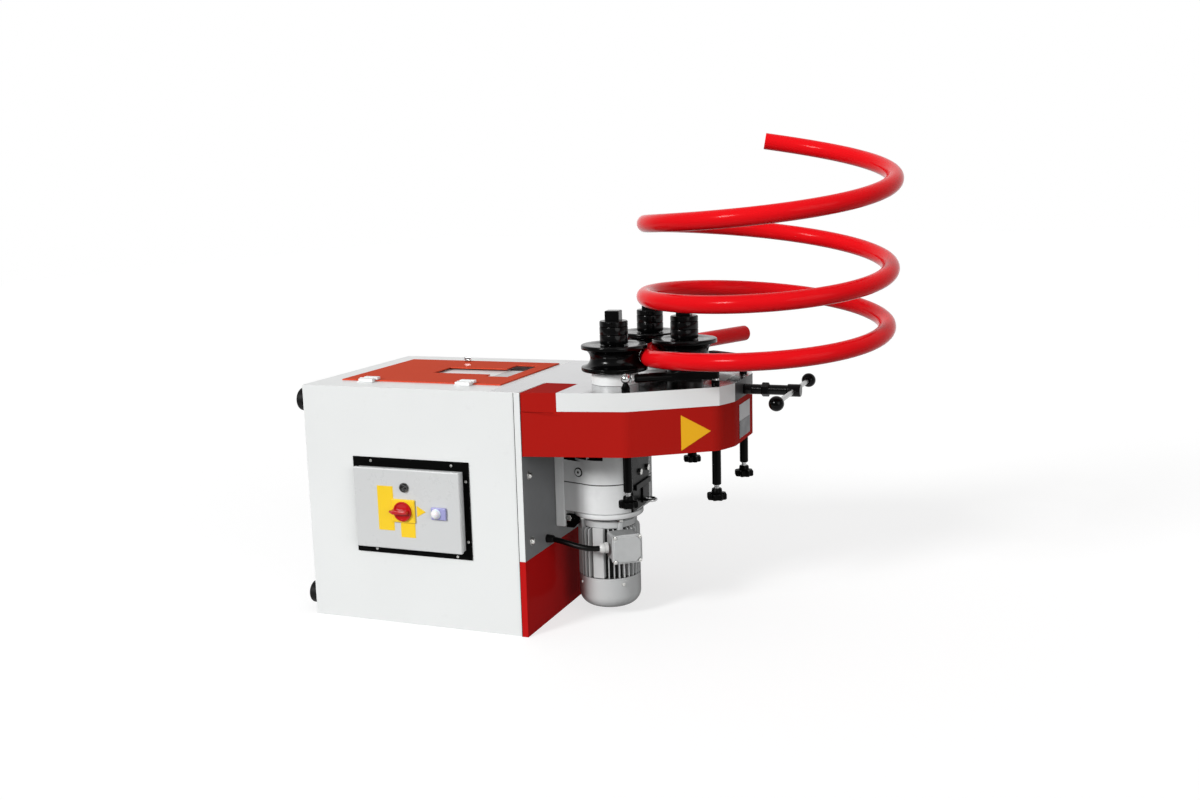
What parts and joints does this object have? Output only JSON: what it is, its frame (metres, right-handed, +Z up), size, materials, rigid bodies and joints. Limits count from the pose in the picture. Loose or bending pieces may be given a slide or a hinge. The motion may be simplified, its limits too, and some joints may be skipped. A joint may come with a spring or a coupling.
{
  "type": "ring roller",
  "caption": "Electric tube and ring bending machine with grooved rollers on an overhung head, a screw-fed pressing roller and a helix of tube being rolled.",
  "frame": {"origin": "centre of the cabinet's underside, on the floor", "axes": "+X from the cabinet to the roller head, +Y to the back, +Z up"},
  "size_m": [1.49, 0.7707, 1.2138],
  "materials": {
    "white_paint": "satin white powder coat",
    "grey_paint": "satin grey powder coat",
    "red_paint": "satin deep red powder coat",
    "lid_red": "satin red powder coat",
    "blackened_steel": "blackened, glossy turned steel",
    "bright_steel": "bright machined steel",
    "cast_aluminium": "painted die casting, light grey",
    "black_plastic": "black moulding",
    "black_painted": "satin black paint",
    "black_rubber": "black rubber",
    "enclosure_grey": "light grey enclosure paint",
    "yellow_plastic": "yellow plastic",
    "knob_red": "red plastic",
    "lamp_lens": "pale lilac lens",
    "tube_red": "bright red gloss coat"
  },
  "bodies": {
    "frame": {"cabinet_shell": "white_paint", "tool_tray": "white_paint", "side_plate": "grey_paint", "lower_side_cover": "red_paint", "panel_gasket": "black_rubber", "control_box": "enclosure_grey", "foot_front_lower": "black_rubber", "foot_front_upper": "black_rubber", "foot_back_lower": "black_rubber", "foot_back_upper": "black_rubber", "head_plate": "white_paint", "head_skirt": "red_paint", "head_bottom_cover": "black_painted", "spindle_sleeve": "black_plastic", "front_bearing_housing": "white_paint", "back_bearing_housing": "white_paint", "gearbox": "cast_aluminium", "gearbox_bracket": "black_painted", "gearbox_gusset": "black_painted", "motor_body": "cast_aluminium", "fan_cover": "cast_aluminium", "terminal_box": "cast_aluminium", "cable_gland": "cast_aluminium", "motor_cable": "black_rubber", "eye_bolt": "bright_steel", "front_outer_guide_sleeve": "black_painted", "front_inner_guide_sleeve": "black_painted", "back_outer_guide_sleeve": "black_painted", "back_inner_guide_sleeve": "black_painted", "rolled_tube": "tube_red"},
    "tool_lid": {"lid": "lid_red"},
    "latch": {"lid_latch": "bright_steel"},
    "control_door": {"control_box_door": "enclosure_grey", "switch_base": "yellow_plastic", "pilot_lamp": "lamp_lens"},
    "main_switch": {"switch_knob": "knob_red"},
    "lock": {"door_lock": "black_plastic"},
    "front_station": {"front_shaft": "blackened_steel", "front_roller": "blackened_steel", "front_spacer_rings": "blackened_steel", "front_drive_gear": "bright_steel"},
    "back_station": {"back_shaft": "blackened_steel", "back_roller": "blackened_steel", "back_spacer_rings": "blackened_steel", "back_drive_gear": "bright_steel"},
    "pinion": {"drive_pinion": "bright_steel"},
    "carriage": {"press_carriage": "bright_steel"},
    "press_station": {"press_shaft": "blackened_steel", "press_roller": "blackened_steel", "press_spacer_rings": "blackened_steel"},
    "spindle": {"adjusting_spindle": "blackened_steel", "handle_bar": "bright_steel", "ball_knob_front": "black_plastic", "ball_knob_back": "black_plastic"},
    "front_guide": {"front_guide_arm": "black_painted"},
    "back_guide": {"back_guide_arm": "black_painted"},
    "front_outer_knob": {"front_outer_star_knob": "black_plastic"},
    "front_inner_knob": {"front_inner_star_knob": "black_plastic"},
    "back_outer_knob": {"back_outer_star_knob": "black_plastic"},
    "back_inner_knob": {"back_inner_star_knob": "black_plastic"}
  },
  "joints": [
    {"name": "lid_hinge", "type": "hinge", "parent": "frame", "child": "tool_lid", "pos_m": [-0.0235, -0.1905, 0.6153], "axis": [1, 0, 0], "range_deg": [0, 100]},
    {"name": "lid_latch_turn", "type": "hinge", "parent": "tool_lid", "child": "latch", "pos_m": [-0.061, 0.176, 0.6133], "axis": [0, 0, 1], "range_deg": [0, 90]},
    {"name": "control_door_hinge", "type": "hinge", "parent": "frame", "child": "control_door", "pos_m": [-0.0025, -0.2908, 0.205], "axis": [1, 0, 0], "range_deg": [0, 110]},
    {"name": "switch_knob_turn", "type": "hinge", "parent": "control_door", "child": "main_switch", "pos_m": [-0.01, -0.3074, 0.306], "axis": [0, 1, 0], "range_deg": [0, 90]},
    {"name": "door_lock_turn", "type": "hinge", "parent": "control_door", "child": "lock", "pos_m": [-0.006, -0.3018, 0.366], "axis": [0, 1, 0], "range_deg": [0, 90]},
    {"name": "front_roller_spin", "type": "hinge", "parent": "frame", "child": "front_station", "pos_m": [0.478, -0.08444, 0.6749], "axis": [0, 0, 1], "continuous": true},
    {"name": "back_roller_spin", "type": "hinge", "parent": "frame", "child": "back_station", "pos_m": [0.478, 0.18844, 0.6749], "axis": [0, 0, 1], "continuous": true},
    {"name": "drive_pinion_turn", "type": "hinge", "parent": "frame", "child": "pinion", "pos_m": [0.44663, 0.052, 0.5], "axis": [0, 0, 1], "continuous": true},
    {"name": "press_carriage_slide", "type": "slide", "parent": "frame", "child": "carriage", "axis": [1, 0, 0], "range_m": [0, 0.0601]},
    {"name": "press_roller_spin", "type": "hinge", "parent": "carriage", "child": "press_station", "pos_m": [0.616, 0.052, 0.6749], "axis": [0, 0, 1], "continuous": true},
    {"name": "spindle_turn", "type": "hinge", "parent": "carriage", "child": "spindle", "pos_m": [0.769, 0.052, 0.583], "axis": [1, 0, 0], "range_deg": [0, 5400]},
    {"name": "front_guide_lift", "type": "slide", "parent": "frame", "child": "front_guide", "axis": [0, 0, 1], "range_m": [-0.006, 0.006]},
    {"name": "back_guide_lift", "type": "slide", "parent": "frame", "child": "back_guide", "axis": [0, 0, 1], "range_m": [-0.006, 0.006]},
    {"name": "front_outer_knob_turn", "type": "hinge", "parent": "frame", "child": "front_outer_knob", "pos_m": [0.551, -0.208, 0.3667], "axis": [0, 0, 1], "range_deg": [-865, 865]},
    {"name": "front_inner_knob_turn", "type": "hinge", "parent": "frame", "child": "front_inner_knob", "pos_m": [0.733, -0.077, 0.3667], "axis": [0, 0, 1], "range_deg": [-865, 865]},
    {"name": "back_outer_knob_turn", "type": "hinge", "parent": "frame", "child": "back_outer_knob", "pos_m": [0.551, 0.312, 0.3667], "axis": [0, 0, 1], "range_deg": [-865, 865]},
    {"name": "back_inner_knob_turn", "type": "hinge", "parent": "frame", "child": "back_inner_knob", "pos_m": [0.733, 0.181, 0.3667], "axis": [0, 0, 1], "range_deg": [-865, 865]}
  ],
  "couplings": [
    {"joint": "back_roller_spin", "follows": "front_roller_spin", "ratio": 1},
    {"joint": "drive_pinion_turn", "follows": "front_roller_spin", "ratio": -2.5},
    {"joint": "press_carriage_slide", "follows": "spindle_turn", "m_per_rad": 0.00063662},
    {"joint": "front_outer_knob_turn", "follows": "front_guide_lift", "rad_per_m": 2513.3},
    {"joint": "front_inner_knob_turn", "follows": "front_guide_lift", "rad_per_m": 2513.3},
    {"joint": "back_outer_knob_turn", "follows": "back_guide_lift", "rad_per_m": 2513.3},
    {"joint": "back_inner_knob_turn", "follows": "back_guide_lift", "rad_per_m": 2513.3}
  ]
}
